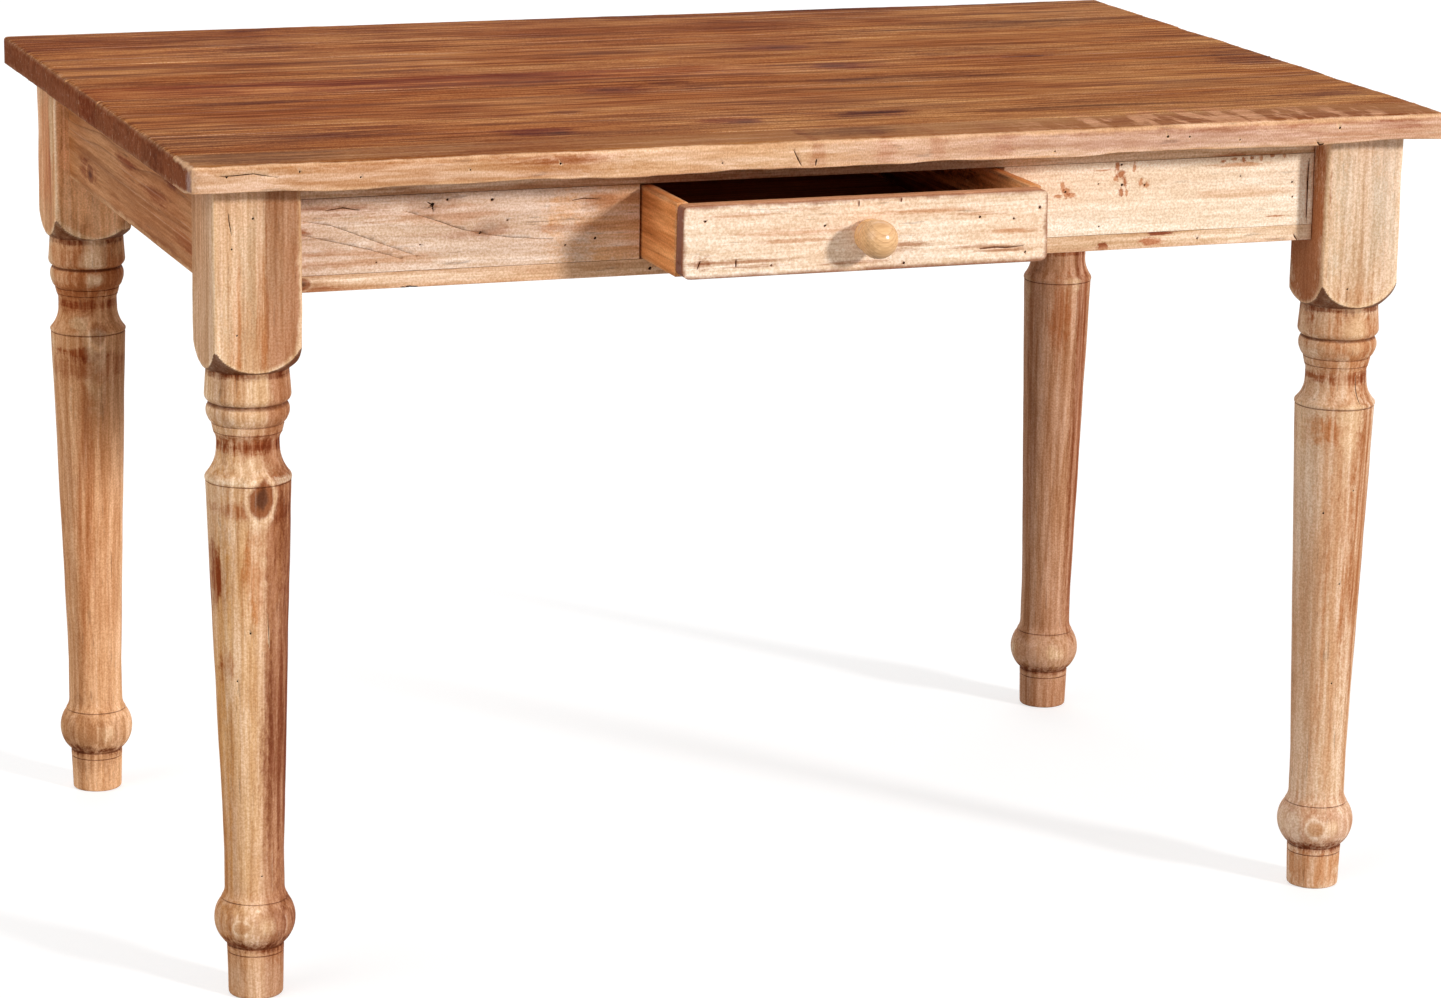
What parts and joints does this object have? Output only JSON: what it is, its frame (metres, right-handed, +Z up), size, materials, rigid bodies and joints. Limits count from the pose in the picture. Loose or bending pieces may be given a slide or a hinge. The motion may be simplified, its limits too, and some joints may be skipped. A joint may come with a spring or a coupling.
{
  "type": "tavern table",
  "caption": "Rectangular solid wood tavern table with a glued-up board top, turned legs, plain aprons and one small flush drawer with a ball knob.",
  "frame": {"origin": "on the floor under the middle of the tabletop, at mount stand", "axes": "+X along the table to the right as seen from the drawer side, +Y from the drawer side to the back, +Z up"},
  "size_m": [1.2, 0.892, 0.77],
  "materials": {
    "top_wood": "mid brown stained and waxed pine, satin, worn at the edges",
    "leg_wood": "honey waxed pine, darker stain in the turned hollows",
    "apron_wood": "pale honey waxed pine with knots and small worm holes",
    "drawer_front_wood": "pale cream waxed pine, rounded and worn edges",
    "drawer_box_wood": "orange brown stained pine, satin",
    "panel_wood": "thin plain board, satin",
    "inner_wood": "plain sawn pine, unfinished",
    "knob_wood": "turned beech, clear gloss varnish",
    "steel": "zinc plated steel"
  },
  "bodies": {
    "table": {"top_board_1": "top_wood", "top_board_2": "top_wood", "top_board_3": "top_wood", "top_board_4": "top_wood", "top_board_5": "top_wood", "top_board_6": "top_wood", "top_board_7": "top_wood", "top_board_8": "top_wood", "top_board_9": "top_wood", "leg_front_left": "leg_wood", "leg_front_right": "leg_wood", "leg_back_left": "leg_wood", "leg_back_right": "leg_wood", "front_rail_bottom": "apron_wood", "front_rail_top": "apron_wood", "front_apron_left": "apron_wood", "front_apron_right": "apron_wood", "apron_left": "apron_wood", "apron_right": "apron_wood", "apron_back": "apron_wood", "corner_brace_front_left": "inner_wood", "corner_brace_front_right": "inner_wood", "corner_brace_back_left": "inner_wood", "corner_brace_back_right": "inner_wood", "drawer_runner_left": "inner_wood", "drawer_runner_right": "inner_wood", "drawer_guide_left": "inner_wood", "drawer_guide_right": "inner_wood", "drawer_kicker_left": "inner_wood", "drawer_kicker_right": "inner_wood", "drawer_stop_left": "inner_wood", "drawer_stop_right": "inner_wood", "top_buttons": "inner_wood", "hanger_bolts": "steel", "brace_washers": "steel", "brace_nuts": "steel", "brace_screws": "steel", "button_screws": "steel", "front_rail_screws": "steel"},
    "drawer": {"drawer_front": "drawer_front_wood", "drawer_side_left": "drawer_box_wood", "drawer_side_right": "drawer_box_wood", "drawer_back": "drawer_box_wood", "drawer_bottom": "panel_wood", "drawer_dowels": "inner_wood", "drawer_nails": "steel", "knob": "knob_wood", "knob_screw": "steel"}
  },
  "joints": [
    {"name": "drawer_slide", "type": "slide", "parent": "table", "child": "drawer", "axis": [0, -1, 0], "range_m": [-0.108, 0.192]}
  ]
}
